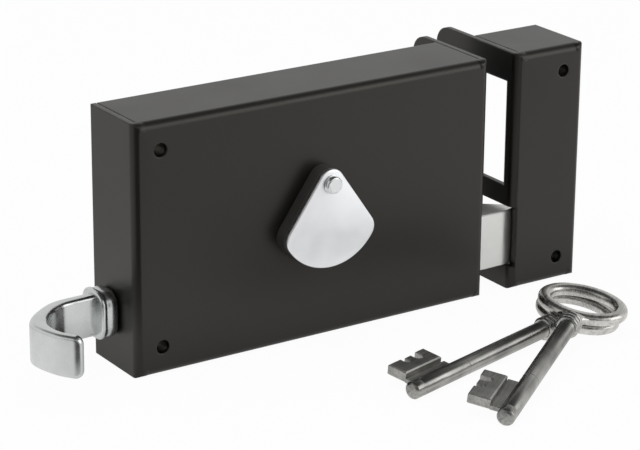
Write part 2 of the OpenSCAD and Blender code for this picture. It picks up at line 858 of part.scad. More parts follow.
// Key laid on the ground with its tip at the given place
module laid_key(lay)
    translate([lay[0], lay[1], ground + shank_r])
        rotate([lay[4], -lay[3], lay[2]])
            key_form();

module key_1() color("#8a8b87") laid_key(lay_1);
module key_2() color("#8f908c") laid_key(lay_2);

case_shell();
back_plate();
back_screws();
pillars();
screw_sleeves();
lever_post();
lever_bush();
bolt_post();
spring_bracket();
crank_post();
latch_crank();
lever_1();
lever_2();
lever_3();
lever_4();
lever_spring_1();
lever_spring_2();
lever_spring_3();
lever_spring_4();
deadbolt();
bolt_stump();
latch_head();
latch_rod();
latch_peg();
latch_spring();
pull_hook();
hook_pin();
cover_base();
base_rivets();
key_cover();
cover_rivet();
keeper_shell();
keeper_sleeves();
key_1();
key_2();
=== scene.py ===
"""Rim box lock with a pull hook, its box keeper and two lever keys, dressed and lit."""
import json
import math

import bmesh
import bpy
from mathutils import Matrix, Vector


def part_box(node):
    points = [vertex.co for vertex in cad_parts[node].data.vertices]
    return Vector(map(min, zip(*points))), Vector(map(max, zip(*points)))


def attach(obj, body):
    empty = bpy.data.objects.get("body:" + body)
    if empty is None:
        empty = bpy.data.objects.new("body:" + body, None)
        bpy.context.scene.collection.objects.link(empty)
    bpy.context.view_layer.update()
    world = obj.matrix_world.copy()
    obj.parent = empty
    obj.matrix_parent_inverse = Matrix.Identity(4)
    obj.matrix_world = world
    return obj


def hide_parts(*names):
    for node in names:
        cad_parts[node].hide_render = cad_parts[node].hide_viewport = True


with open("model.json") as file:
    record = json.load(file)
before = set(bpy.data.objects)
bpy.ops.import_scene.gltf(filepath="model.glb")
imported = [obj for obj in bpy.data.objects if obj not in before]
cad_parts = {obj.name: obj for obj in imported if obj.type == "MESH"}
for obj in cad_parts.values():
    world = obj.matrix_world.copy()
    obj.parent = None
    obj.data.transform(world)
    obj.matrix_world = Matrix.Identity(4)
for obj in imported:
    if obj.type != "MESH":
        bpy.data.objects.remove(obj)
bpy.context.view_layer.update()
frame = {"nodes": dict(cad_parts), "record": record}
NODES = frame["nodes"]
SCENE = bpy.context.scene
MM = 0.001
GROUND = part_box("case_shell")[0][2] / MM

# Key sizes in mm, which the keys' finish follows too: radius and length of the shank
SHANK_R, SHANK_LONG = 3.0, 69.0
# Place of the bit along the shank, its length, its reach from the axis and its thickness
BIT_LEFT, BIT_LONG, BIT_REACH, BIT_THICK = 4.8, 17.8, 14.5, 2.7


# Colours and nodes

# Sockets of a colour mix node
COLOUR_A, COLOUR_B, COLOUR_OUT = 6, 7, 2
WHITE = (1.0, 1.0, 1.0, 1.0)


def linear(code):
    """Linear colour of an sRGB hex value."""
    parts = [int(code[i:i + 2], 16) / 255 for i in (1, 3, 5)]
    return tuple(c / 12.92 if c <= 0.04045 else ((c + 0.055) / 1.055) ** 2.4 for c in parts) + (1.0,)


def add(tree, kind, settings=None, links=None):
    """Adds a node: settings go to its sockets or properties, links join its inputs to nodes or outputs."""
    node = tree.nodes.new(kind)
    for key, value in (settings or {}).items():
        if isinstance(key, str) and hasattr(node, key):
            setattr(node, key, value)
        else:
            node.inputs[key].default_value = value
    for key, source in (links or {}).items():
        tree.links.new(source.outputs[0] if hasattr(source, "outputs") else source, node.inputs[key])
    return node


def empty_tree(owner):
    """Node tree of a material or a world, cleared."""
    owner.use_nodes = True
    owner.node_tree.nodes.clear()
    return owner.node_tree


def new_material(name):
    """Node material with only its principled shader and output."""
    material = bpy.data.materials.new(name)
    tree = empty_tree(material)
    shader = add(tree, "ShaderNodeBsdfPrincipled")
    add(tree, "ShaderNodeOutputMaterial", links={"Surface": shader})
    return material, tree, shader


def per_metre(size_mm):
    """Noise scale whose grains are about size_mm across."""
    return 1000.0 / size_mm


# Finishes

# Enamel in mm: breadth of its clouds, of its rubbed patches and of its orange peel
ENAMEL_CLOUD, ENAMEL_PATCH, ENAMEL_PEEL = 28.0, 5.0, 0.8
# Enamel in mm: depth of the orange peel, and the radius to which it flows at edges
PEEL_DEPTH, ENAMEL_EDGE = 0.04, 0.9
# Metal in mm: breadth of the clouds in its polish
METAL_CLOUD = 9.0
# Key in mm: where its finish and painted shade change, beside its axis at the flanks and along it at the
# neck and the bit
FLANK_FROM, FLANK_TO = SHANK_R + 1.2, SHANK_R + 1.8
NECK_FROM, NECK_TO = SHANK_LONG - 3.0, SHANK_LONG
BIT_FULL, BIT_GONE = BIT_LEFT + BIT_LONG + 7.4, BIT_LEFT + BIT_LONG + 11.4


def enamel(name, dark, light, worn_and_lit_edge, rough):
    """Baked enamel on folded steel: soft sheen over a fine orange peel, paler at edges, partly rubbed and
    partly painted highlight.
    """
    material, tree, shader = new_material(name)
    where = add(tree, "ShaderNodeTexCoord").outputs["Object"]
    clouds = add(tree, "ShaderNodeTexNoise",
                 {"Scale": per_metre(ENAMEL_CLOUD), "Detail": 3.0, "Roughness": 0.55}, {"Vector": where})
    even = add(tree, "ShaderNodeMapRange", {"From Min": 0.32, "From Max": 0.7}, {"Value": clouds})
    tone = add(tree, "ShaderNodeMix",
               {"data_type": "RGBA", COLOUR_A: linear(dark), COLOUR_B: linear(light)}, {"Factor": even})
    # The bevelled normal departs from the true one at edges, which are painted paler: partly enamel rubbed
    # thin, partly a painted highlight along the bends
    bevel = add(tree, "ShaderNodeBevel", {"samples": 6, "Radius": ENAMEL_EDGE * MM})
    true = add(tree, "ShaderNodeNewGeometry").outputs["Normal"]
    along = add(tree, "ShaderNodeVectorMath", {"operation": "DOT_PRODUCT"}, {0: bevel, 1: true})
    edge = add(tree, "ShaderNodeMapRange", {"From Min": 0.985, "From Max": 0.8},
               {"Value": along.outputs["Value"]})
    patches = add(tree, "ShaderNodeTexNoise",
                  {"Scale": per_metre(ENAMEL_PATCH), "Detail": 4.0, "Roughness": 0.6}, {"Vector": where})
    patchy = add(tree, "ShaderNodeMapRange", {"From Min": 0.46, "From Max": 0.72, "To Max": 0.5},
               {"Value": patches})
    # Edges take the paler tone, partly as rubbed enamel and partly as a painted highlight
    wear_and_highlight = add(tree, "ShaderNodeMath", {"operation": "MULTIPLY"}, {0: edge, 1: patchy})
    colour = add(tree, "ShaderNodeMix", {"data_type": "RGBA", COLOUR_B: linear(worn_and_lit_edge)},
                 {"Factor": wear_and_highlight, COLOUR_A: tone.outputs[COLOUR_OUT]})
    tree.links.new(colour.outputs[COLOUR_OUT], shader.inputs["Base Color"])
    # The sheen wanders with the clouds
    gloss = add(tree, "ShaderNodeMapRange",
                {"To Min": rough - 0.05, "To Max": rough + 0.06}, {"Value": clouds})
    tree.links.new(gloss.outputs[0], shader.inputs["Roughness"])
    # Orange peel, over edges that the enamel has flowed round
    peel = add(tree, "ShaderNodeTexNoise",
               {"Scale": per_metre(ENAMEL_PEEL), "Detail": 2.0}, {"Vector": where})
    bump = add(tree, "ShaderNodeBump", {"Strength": 0.08, "Distance": PEEL_DEPTH * MM},
               {"Height": peel, "Normal": bevel})
    tree.links.new(bump.outputs[0], shader.inputs["Normal"])
    shader.inputs["Specular Tint"].default_value = linear("#fff9f1")
    return material


def plated(name, colour, shade, rough, grain_mm, stretch, bump_mm, on_key=False, metallic=1.0):
    """Plated or bare metal: grain drawn along the way it was worked, with clouds in its polish."""
    material, tree, shader = new_material(name)
    if on_key:
        where = add(tree, "ShaderNodeAttribute", {"attribute_name": "key_place"}).outputs["Vector"]
    else:
        where = add(tree, "ShaderNodeTexCoord").outputs["Object"]
    drawn = add(tree, "ShaderNodeMapping", {"Scale": stretch}, {"Vector": where})
    grain = add(tree, "ShaderNodeTexNoise",
                {"Scale": per_metre(grain_mm), "Detail": 2.0, "Roughness": 0.5}, {"Vector": drawn})
    clouds = add(tree, "ShaderNodeTexNoise",
                 {"Scale": per_metre(METAL_CLOUD), "Detail": 2.0}, {"Vector": where})
    both = add(tree, "ShaderNodeMath", {"operation": "ADD"}, {0: grain, 1: clouds})
    even = add(tree, "ShaderNodeMapRange", {"From Min": 0.75, "From Max": 1.25}, {"Value": both})
    tone = add(tree, "ShaderNodeMix",
               {"data_type": "RGBA", COLOUR_A: linear(shade), COLOUR_B: linear(colour)}, {"Factor": even})
    gloss = add(tree, "ShaderNodeMapRange",
                {"From Min": 0.3, "From Max": 0.7, "To Min": rough - 0.04, "To Max": rough + 0.06},
                {"Value": grain})
    bump = add(tree, "ShaderNodeBump", {"Strength": 0.25, "Distance": bump_mm * MM}, {"Height": grain})
    shader.inputs["Metallic"].default_value = metallic
    tree.links.new(bump.outputs[0], shader.inputs["Normal"])
    if on_key:
        paint_key_shade_and_dull(tree, shader, where, tone.outputs[COLOUR_OUT], gloss)
    else:
        tree.links.new(tone.outputs[COLOUR_OUT], shader.inputs["Base Color"])
        tree.links.new(gloss.outputs[0], shader.inputs["Roughness"])
    return material


def paint_key_shade_and_dull(tree, shader, where, tone, gloss):
    """Darkens the drawn shank of a key as painted shade, paints its bow and rings paler as painted light,
    and dulls its sawn bit.
    """
    along = add(tree, "ShaderNodeSeparateXYZ", links={0: where}).outputs["X"]
    aside = add(tree, "ShaderNodeVectorMath", {"operation": "MULTIPLY", 1: (0.0, 1.0, 1.0)}, {0: where})
    reach = add(tree, "ShaderNodeVectorMath", {"operation": "LENGTH"}, {0: aside}).outputs["Value"]
    flank = add(tree, "ShaderNodeMapRange",
                {"From Min": FLANK_FROM * MM, "From Max": FLANK_TO * MM, "To Max": 0.4}, {"Value": reach})
    neck = add(tree, "ShaderNodeMapRange",
               {"From Min": NECK_FROM * MM, "From Max": NECK_TO * MM}, {"Value": along})
    off_shank = add(tree, "ShaderNodeMath", {"operation": "MAXIMUM"}, {0: flank, 1: neck})
    # Painted shade and light: the shank darkest, the bit a little lighter, the bow and rings paler than the
    # plain tone
    painted_shade_and_light = add(tree, "ShaderNodeMapRange", {"To Min": 0.66, "To Max": 1.15}, {"Value": off_shank})
    painted_tone = add(tree, "ShaderNodeVectorMath", {"operation": "SCALE"}, {0: tone, "Scale": painted_shade_and_light})
    tree.links.new(painted_tone.outputs[0], shader.inputs["Base Color"])
    bit = add(tree, "ShaderNodeMapRange",
              {"From Min": BIT_GONE * MM, "From Max": BIT_FULL * MM, "To Max": 0.55}, {"Value": along})
    dull = add(tree, "ShaderNodeMath", {"operation": "MULTIPLY_ADD"}, {0: flank, 1: bit, 2: gloss})
    tree.links.new(dull.outputs[0], shader.inputs["Roughness"])


# Enamels, each with its two tones, the paler tone of its edges, partly rubbed and partly painted highlight,
# and its roughness

# Baked on the case: near black, with a soft wide sheen that greys the top and leaves the front deep
CASE_ENAMEL = enamel("baked_enamel_case", "#12110f", "#161513", "#5e5c58", 0.36)
# Baked on the keeper: painted a shade deeper than the case as painted shade, with corners rubbed a little
# paler
KEEPER_ENAMEL = enamel("baked_enamel_keeper", "#0c0b0a", "#100f0e", "#66635f", 0.36)
# Baked on the cover's base: painted greyer than the case as painted light, so that its side stands off the
# case
BASE_ENAMEL = enamel("baked_enamel_cover_base", "#333231", "#3a3938", "#4a4844", 0.36)

# Metals, each with its two tones, its roughness, its grain in mm, how that is stretched, and its bump in mm
# A grain under 1 mm stands for one too fine to show: it is drawn coarser than real, so that it shows

EVEN, DRAWN, FINE_DRAWN = (1, 1, 1), (0.1, 1, 1), (0.02, 1, 1)
# Satin nickel: an even white glow, with no grain to see
COVER_NICKEL = plated("satin_nickel_cover", "#f6f7f8", "#f1f2f4", 0.4, 6.0, EVEN, 0.0)
# Turned and plated: sharper than the cover, so that the rivet's steps show
RIVET_NICKEL = plated("nickel_plated_rivet", "#e6e7e8", "#dedfe0", 0.26, 3.0, EVEN, 0.0)
# Zinc over a casting: silver, with slow waves in what it mirrors
HOOK_ZINC = plated("zinc_plated_casting", "#d4d6d5", "#c8cbca", 0.24, 4.0, EVEN, 0.03)
# Nickel over a ground face, partly matt: a pale front that darkens round the nose
LATCH_NICKEL = plated("nickel_plated_latch", "#e2e2df", "#dcdcd9", 0.34, 6.0, EVEN, 0.0, metallic=0.8)
# Nickel tumbled over drawn steel: lines along the shank, coarser than real, a mottled bow and a dull bit,
# with the shank painted darker as shade and the bow and rings paler as light
KEY_NICKEL = plated("tumbled_nickel_keys", "#c4c3bf", "#8f8e8b", 0.28, 0.9, FINE_DRAWN, 0.012, on_key=True)
# Rolled sheet: mid grey, with matt streaks along the sheet
PLATE_STEEL = plated("cold_rolled_steel", "#8f8c86", "#77746f", 0.4, 0.6, DRAWN, 0.02)
# Zinc over turned steel: pale grey with a light mottle
ZINC_STEEL = plated("zinc_plated_steel", "#b9b8b3", "#9f9e99", 0.34, 0.6, EVEN, 0.01)
# Brass strip: yellow, with the streaks of its rolling
LEVER_BRASS = plated("punched_brass", "#c9a45a", "#a88444", 0.3, 0.5, DRAWN, 0.01)
# Tempered steel: dark and bluish
SPRING_STEEL = plated("tempered_spring_steel", "#7c8087", "#5d6067", 0.3, 0.4, EVEN, 0.01)
# Machined steel: light grey, with tool lines along the bolt
BOLT_STEEL = plated("machined_steel", "#bfbdb7", "#a5a39d", 0.3, 0.5, DRAWN, 0.01)

FINISH_OF_SLOT = {
    "case_paint": CASE_ENAMEL, "keeper_paint": KEEPER_ENAMEL, "base_paint": BASE_ENAMEL,
    "plate_steel": PLATE_STEEL, "zinc_steel": ZINC_STEEL, "lever_brass": LEVER_BRASS,
    "spring_steel": SPRING_STEEL, "bolt_steel": BOLT_STEEL, "latch_plating": LATCH_NICKEL,
    "hook_plating": HOOK_ZINC, "cover_plating": COVER_NICKEL, "key_nickel": KEY_NICKEL,
}
for part in frame["record"]["subparts"]:
    cad = NODES[part["node"]]
    cad.data.materials.clear()
    cad.data.materials.append(FINISH_OF_SLOT[part["material_slot"]])


# Meshes, with sizes in mm and angles in degrees

def finish_normals(obj, smooth):
    """Merges doubles, turns faces outwards and shades edges round that bend less than the angle smooth."""
    work = bmesh.new()
    work.from_mesh(obj.data)
    bmesh.ops.remove_doubles(work, verts=work.verts, dist=1e-7)
    bmesh.ops.recalc_face_normals(work, faces=work.faces)
    work.to_mesh(obj.data)
    work.free()
    obj.data.shade_smooth()
    obj.data.set_sharp_from_angle(angle=math.radians(smooth))


def piece(name, shell, material, body, node, smooth):
    """Piece from points and faces, which rides on a body and stands for a node."""
    points, faces = shell
    mesh = bpy.data.meshes.new(name)
    mesh.from_pydata([Vector(p) * MM for p in points], [], faces)
    mesh.validate()
    mesh.materials.append(material)
    obj = bpy.data.objects.new(name, mesh)
    SCENE.collection.objects.link(obj)
    finish_normals(obj, smooth)
    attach(obj, body)
    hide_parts(node)
    return obj


def settled(obj):
    """New plain mesh of an object as its modifiers leave it."""
    return bpy.data.meshes.new_from_object(obj.evaluated_get(bpy.context.evaluated_depsgraph_get()))


def loft(rings):
    """Points and faces of a skin through rings of equal length, closed by a face at each end."""
    n = len(rings[0])
    points = [p for ring in rings for p in ring]
    faces = []
    for i in range(len(rings) - 1):
        for j in range(n):
            a, b = i * n + j, i * n + (j + 1) % n
            faces.append((a, b, b + n, a + n))
    last = (len(rings) - 1) * n
    faces.append(tuple(reversed(range(n))))
    faces.append(tuple(range(last, last + n)))
    return points, faces


def join(*shells):
    """One list of points and faces from several shells."""
    points, faces = [], []
    for shell_points, shell_faces in shells:
        shift = len(points)
        points += shell_points
        faces += [tuple(i + shift for i in face) for face in shell_faces]
    return points, faces


def arc(x, y, r, start, end, steps):
    """Points on a circle from one angle to another."""
    angles = [math.radians(start + (end - start) * i / steps) for i in range(steps + 1)]
    return [(x + r * math.cos(a), y + r * math.sin(a)) for a in angles]


def round_rect(w, h, r, steps=6):
    """Outline of a rectangle w by h with corners of radius r, counter-clockwise."""
    least_flat = 0.01
    r = min(r, w / 2 - least_flat, h / 2 - least_flat)
    out = []
    for k, (sx, sy) in enumerate(((1, 1), (-1, 1), (-1, -1), (1, -1))):
        out += arc(sx * (w / 2 - r), sy * (h / 2 - r), r, 90 * k, 90 * (k + 1), steps)
    return out


def oval(x, ry, rz, steps):
    """Ring about the X axis at the place x, with its half sizes in Y and Z."""
    angles = [2 * math.pi * i / steps for i in range(steps)]
    return [(x, ry * math.cos(a), rz * math.sin(a)) for a in angles]


def inset(outline, d):
    """Outline moved inwards by d, for a counter-clockwise outline."""
    n = len(outline)
    sharpest = 0.4
    moved = []
    for i in range(n):
        p, q, r = Vector(outline[i - 1]), Vector(outline[i]), Vector(outline[(i + 1) % n])
        a, b = (q - p).normalized(), (r - q).normalized()
        inwards = Vector((-a.y, a.x)) + Vector((-b.y, b.x))
        moved.append(tuple(q + inwards * (d / max(sharpest, inwards.length_squared / 2))))
    return moved


def slab(outline, z0, z1, edge):
    """Flat piece of an outline in X and Y between two heights, with a small bevel all round."""
    inner = inset(outline, edge)
    rings = [[(x, y, z0) for x, y in inner], [(x, y, z0 + edge) for x, y in outline],
             [(x, y, z1 - edge) for x, y in outline], [(x, y, z1) for x, y in inner]]
    return loft(rings)


def along_curve(knots, steps):
    """Points on a smooth curve through the knots, which may hold more than places."""
    knots = [Vector(k) for k in knots]
    ends = [2 * knots[0] - knots[1]] + knots + [2 * knots[-1] - knots[-2]]
    out = []
    for i in range(len(knots) - 1):
        p, q, r, t = ends[i:i + 4]
        for k in range(steps):
            u = k / steps
            out.append(0.5 * (2 * q + (r - p) * u + (2 * p - 5 * q + 4 * r - t) * u ** 2
                              + (3 * q - p - 3 * r + t) * u ** 3))
    return out + [knots[-1]]


# Folded shells, the cover's base and its rivet, with their bends shaded round

BEND_SMOOTH, FLAT_WEIGHT = 25, 100


def smooth_copy(node, material):
    """Merged copy of a solid on the case, whose flat faces stay flat beside its smooth bends."""
    mesh = NODES[node].data.copy()
    mesh.name = node + "_skin"
    mesh.transform(NODES[node].matrix_world)
    obj = bpy.data.objects.new(node + "_skin", mesh)
    SCENE.collection.objects.link(obj)
    finish_normals(obj, BEND_SMOOTH)
    even = obj.modifiers.new("even", "WEIGHTED_NORMAL")
    even.keep_sharp = True
    even.weight = FLAT_WEIGHT
    plain = settled(obj)
    obj.modifiers.clear()
    obj.data = plain
    plain.materials.clear()
    plain.materials.append(material)
    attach(obj, "case")
    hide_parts(node)


smooth_copy("case_shell", CASE_ENAMEL)
smooth_copy("keeper_shell", KEEPER_ENAMEL)
smooth_copy("cover_base", BASE_ENAMEL)
smooth_copy("cover_rivet", RIVET_NICKEL)


# Pull hook: collar with a lip, arm, wide bend and round tip

HOOK_LOW, HOOK_HIGH = (Vector(corner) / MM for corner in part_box("pull_hook"))
HOOK_Z = (HOOK_LOW.z + HOOK_HIGH.z) / 2
HOOK_TALL, HOOK_EDGE, HOOK_STEPS = 14.4, 1.4, 7
# Middle line of the bar from the collar to the tip: distance from the hook's left end, Y, thickness, droop
HOOK_PATH = (
    (28.8, -11.0, 4.5, 0.0), (23.3, -11.0, 4.5, -0.1), (17.0, -10.9, 4.7, -0.3), (13.1, -11.9, 5.0, -0.4),
    (9.2, -14.0, 5.0, -0.6), (5.2, -17.4, 5.5, -0.8), (2.8, -21.4, 6.0, -1.0), (2.4, -25.4, 5.1, -1.0),
    (3.0, -29.6, 4.2, -1.0), (4.4, -33.8, 3.8, -1.0), (7.0, -37.8, 3.7, -1.0),
)
# Round tip: its length, the share of its thickness that it loses, and the height that it loses
TIP_LONG, TIP_THINNER, TIP_LOWER, TIP_STEPS = 2.6, 0.7, 4.8, 8
# The collar sits on the rod, which its pin crosses
ROD_Y = (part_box("hook_pin")[0][1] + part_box("hook_pin")[1][1]) / 2 / MM
COLLAR_WIDE, COLLAR_TALL = 14.0, 16.6
# Collar from its lip to the case: distance from the lip, how much smaller than the lip, corner radius
COLLAR = (
    (0.0, 1.4, 4.2), (0.15, 0.6, 4.5), (0.5, 0.1, 4.7), (1.0, 0.0, 4.8), (1.5, 0.1, 4.7), (1.8, 0.5, 4.6),
    (2.0, 1.0, 4.5), (2.4, 1.1, 4.5), (2.9, 0.7, 4.7), (3.8, 0.4, 4.8), (4.8, 0.4, 4.8), (5.6, 0.7, 4.7),
    (6.2, 1.4, 4.4), (6.4, 2.2, 4.0),
)


def hook_ring(place, droop, out, thick, tall):
    """Section of the hook across its path, where out points to the outside of its bend."""
    shape = round_rect(thick, tall, HOOK_EDGE)
    return [(place[0] + out[0] * u, place[1] + out[1] * u, HOOK_Z + droop + v) for u, v in shape]


def hook_casting():
    """Skin of the hook's bar, thickest in its bend, and of its lipped collar."""
    knots = [(HOOK_LOW.x + x, y, thick, droop) for x, y, thick, droop in HOOK_PATH]
    line = along_curve(knots, HOOK_STEPS)
    bar = []
    for i, here in enumerate(line):
        ahead = (line[min(i + 1, len(line) - 1)] - line[max(i - 1, 0)]).xy.normalized()
        out = (ahead.y, -ahead.x)
        bar.append(hook_ring(here.xy, here.w, out, here.z, HOOK_TALL))
    for i in range(1, TIP_STEPS + 1):
        turn = math.radians(90 * i / TIP_STEPS)
        fall = 1 - math.cos(turn)
        tip = here.xy + ahead * TIP_LONG * math.sin(turn)
        thick, tall = here.z * (1 - TIP_THINNER * fall), HOOK_TALL - TIP_LOWER * fall
        bar.append(hook_ring(tip, here.w, out, thick, tall))
    collar = []
    lip_x = HOOK_HIGH.x - COLLAR[-1][0]
    for x, fall, r in COLLAR:
        shape = round_rect(COLLAR_WIDE - fall, COLLAR_TALL - fall, r)
        collar.append([(lip_x + x, ROD_Y + u, HOOK_Z + v) for u, v in shape])
    return join(loft(bar), loft(collar))


piece("hook_casting", hook_casting(), HOOK_ZINC, "latch", "pull_hook", smooth=35)


# Keys: shank with rings, oval bow with shoulders, stepped and cut bit

# Shank from its tip, with a groove before the bit and a fine one past it: place, and how much thinner it is
SHANK = (
    (0.0, 1.0), (0.1, 0.8), (0.6, 0.15), (0.9, 0.0), (3.9, 0.0), (4.1, 0.2), (4.5, 0.2), (4.8, 0.0),
    (26.4, 0.0), (26.5, 0.1), (26.8, 0.1), (26.9, 0.0),
)
# Neck under the rings: place from the shank's end, and how much thicker than the shank it is
NECK = ((-0.3, 0.0), (0.0, 0.2), (4.6, 0.2), (5.0, 0.5), (5.4, 0.6), (5.9, 0.4), (6.6, 0.0), (7.6, -0.8))
# Shoulders from the neck to the bow: place from the shank's end, half width and half thickness
SHOULDERS = (
    (5.0, 3.2, 3.1), (6.2, 3.6, 2.7), (7.3, 4.6, 2.2), (8.3, 6.2, 1.9), (9.2, 7.6, 1.68), (10.0, 8.2, 1.5),
)
SHANK_STEPS, SHOULDER_STEPS = 40, 32
# Bow and rings, as the named inputs of their tree
KEY_TRIM = {
    "Bow place": 88.3 * MM, "Bow half length": 9.8 * MM, "Bow half width": 13.5 * MM,
    "Bar width": 4.4 * MM, "Bar thickness": 4.0 * MM, "Bar edge": 1.7 * MM,
    "Rings": 3, "First ring": (SHANK_LONG + 0.4) * MM, "Ring pitch": 1.9 * MM,
    "Ring radius": (SHANK_R + 0.2) * MM, "Bead radius": 0.95 * MM,
}
# Flag of the bit: where it begins, how far it stands proud, and its eased edge
FLAG_FROM, FLAG_PROUD, FLAG_EDGE = SHANK_R + 3.5, 1.1, 0.45
# Web of the bit: where it begins, how far it runs past and under the flag, how much lower it is, its edge
WEB_FROM, WEB_PAST, WEB_LAP, WEB_LOWER, WEB_EDGE = 0.5, 1.6, 0.1, 1.0, 0.15
# Two lever cuts: place and radius as shares of the bit's length, and depth of the round end's middle
CUT_1, CUT_2, CUT_STEPS = (0.39, 0.055, 2.6), (0.69, 0.085, 2.8), 8
# How much lower than its full reach the flag is between the cuts and toward the tip
STEP_MIDDLE, STEP_TIP = 0.6, 0.3
# Where each key lies: x, y, heading, tilt and roll
KEY_LAYS = {"key_1": (-4.9, -88.7, 14.3, 1.0, 6.0), "key_2": (7.5, -121.9, 35.3, 4.1, 8.0)}


def key_trim_tree():
    """Geometry nodes for a key's oval bow and the fine rings below it, all sizes in metres."""
    tree = bpy.data.node_groups.new("key_trim", "GeometryNodeTree")
    sizes = {}
    tree.interface.new_socket("Trim", in_out="OUTPUT", socket_type="NodeSocketGeometry")
    for name, value in KEY_TRIM.items():
        kind = "NodeSocketInt" if isinstance(value, int) else "NodeSocketFloat"
        sizes[name] = tree.interface.new_socket(name, in_out="INPUT", socket_type=kind).identifier
    given = add(tree, "NodeGroupInput").outputs
    # Bow: a circle stretched to an oval, with a bar of rounded section along it
    half = add(tree, "ShaderNodeCombineXYZ", {"Z": 1.0},
               {"X": given["Bow half length"], "Y": given["Bow half width"]})
    circle = add(tree, "GeometryNodeCurvePrimitiveCircle", {"Resolution": 96, "Radius": 1.0})
    middle = add(tree, "ShaderNodeCombineXYZ", links={"X": given["Bow place"]})
    stretched = add(tree, "GeometryNodeTransform",
                    links={"Geometry": circle, "Scale": half, "Translation": middle})
    upright = add(tree, "GeometryNodeSetCurveNormal", {"mode": "Z_UP"}, {"Curve": stretched})
    bar = add(tree, "GeometryNodeCurvePrimitiveQuadrilateral",
              links={"Width": given["Bar width"], "Height": given["Bar thickness"]})
    eased = add(tree, "GeometryNodeFilletCurve", {"mode": "POLY", "Count": 6, "Limit Radius": True},
                {"Curve": bar, "Radius": given["Bar edge"]})
    bow = add(tree, "GeometryNodeCurveToMesh", links={"Curve": upright, "Profile Curve": eased})
    # Rings: one bead turned round the shank and repeated along it
    hoop = add(tree, "GeometryNodeCurvePrimitiveCircle",
               {"Resolution": 40}, {"Radius": given["Ring radius"]})
    bead = add(tree, "GeometryNodeCurvePrimitiveCircle",
               {"Resolution": 14}, {"Radius": given["Bead radius"]})
    across = add(tree, "GeometryNodeTransform", {"Rotation": (0.0, math.pi / 2, 0.0)}, {"Geometry": hoop})
    ring = add(tree, "GeometryNodeCurveToMesh", links={"Curve": across, "Profile Curve": bead})
    first = add(tree, "ShaderNodeCombineXYZ", links={"X": given["First ring"]})
    pitch = add(tree, "ShaderNodeCombineXYZ", links={"X": given["Ring pitch"]})
    places = add(tree, "GeometryNodeMeshLine", {"mode": "OFFSET"},
                 {"Count": given["Rings"], "Start Location": first, "Offset": pitch})
    rings = add(tree, "GeometryNodeInstanceOnPoints", links={"Points": places, "Instance": ring})
    both = add(tree, "GeometryNodeJoinGeometry", links={"Geometry": bow})
    tree.links.new(rings.outputs[0], both.inputs[0])
    real = add(tree, "GeometryNodeRealizeInstances", links={"Geometry": both})
    dressed = add(tree, "GeometryNodeSetMaterial", {"Material": KEY_NICKEL}, {"Geometry": real})
    add(tree, "NodeGroupOutput", links={0: dressed})
    return tree, sizes


def key_trim():
    """Points in millimetres and faces of the bow and rings that their tree makes."""
    tree, sizes = key_trim_tree()
    holder = bpy.data.objects.new("key_trim", bpy.data.meshes.new("key_trim"))
    SCENE.collection.objects.link(holder)
    modifier = holder.modifiers.new("key_trim", "NODES")
    modifier.node_group = tree
    for key, value in KEY_TRIM.items():
        modifier[sizes[key]] = value
    mesh = settled(holder)
    shell = [tuple(v.co / MM) for v in mesh.vertices], [tuple(f.vertices) for f in mesh.polygons]
    bpy.data.objects.remove(holder)
    return shell


def key_bit():
    """Thick outer flag with its lever cuts, on a thinner web."""
    left, right, top = BIT_LEFT, BIT_LEFT + BIT_LONG, BIT_REACH
    (x_1, r_1, deep_1), (x_2, r_2, deep_2) = [
        (left + BIT_LONG * place, BIT_LONG * radius, deep) for place, radius, deep in (CUT_1, CUT_2)]
    flag = [(left, FLAG_FROM), (right, FLAG_FROM), (right, top), (x_2 + r_2, top)]
    flag += arc(x_2, top - deep_2, r_2, 0, -180, CUT_STEPS)
    flag += [(x_2 - r_2, top - STEP_MIDDLE), (x_1 + r_1, top - STEP_MIDDLE)]
    flag += arc(x_1, top - deep_1, r_1, 0, -180, CUT_STEPS)
    flag += [(x_1 - r_1, top - STEP_TIP), (left, top - STEP_TIP)]
    web_right, web_top = right + WEB_PAST, FLAG_FROM + WEB_LAP
    web = [(left, WEB_FROM), (web_right, WEB_FROM), (web_right, web_top), (left, web_top)]
    low, high = -BIT_THICK / 2, BIT_THICK / 2
    return join(slab(flag, low, high + FLAG_PROUD, FLAG_EDGE), slab(web, low, high - WEB_LOWER, WEB_EDGE))


def key_form():
    """Key along X with its tip at the origin and its bit toward +Y."""
    profile = [(x, SHANK_R - less) for x, less in SHANK]
    profile += [(SHANK_LONG + x, SHANK_R + more) for x, more in NECK]
    shank = [oval(x, r, r, SHANK_STEPS) for x, r in profile]
    shoulders = [oval(SHANK_LONG + x, ry, rz, SHOULDER_STEPS) for x, ry, rz in SHOULDERS]
    return join(loft(shank), loft(shoulders), key_bit(), key_trim())


def lay_key(name, form, lay):
    """Key lying on the ground, which keeps each point's place in the form for its drawn grain and painted
    shade.
    """
    x, y, heading, tilt, roll = lay
    turn = (Matrix.Rotation(math.radians(heading), 3, "Z") @ Matrix.Rotation(math.radians(-tilt), 3, "Y")
            @ Matrix.Rotation(math.radians(roll), 3, "X"))
    start = Vector((x, y, GROUND + SHANK_R))
    points, faces = form
    shell = [tuple(start + turn @ Vector(p)) for p in points], faces
    key = piece(name + "_nickel", shell, KEY_NICKEL, "case", name, smooth=38)
    back = turn.transposed()
    places = key.data.attributes.new("key_place", "FLOAT_VECTOR", "POINT")
    for i, vertex in enumerate(key.data.vertices):
        places.data[i].vector = back @ (vertex.co - start * MM)


plain_key = key_form()
for key_name, key_lay in KEY_LAYS.items():
    lay_key(key_name, plain_key, key_lay)


# Latch head with eased edges

# The nose reaches a little further than the plain solid, in a quarter of an oval with a short flat end
NOSE_PAST, NOSE_LONG, NOSE_DEEP, NOSE_END, NOSE_STEPS = 1.8, 8.0, 3.4, 1.0, 14
# Depth of the head, length of its bevel on the door side, length of its deeper tail, and its eased edge
LATCH_DEPTH, LATCH_BEVEL, LATCH_TAIL, LATCH_EDGE = 15.0, 13.0, 9.0, 0.35


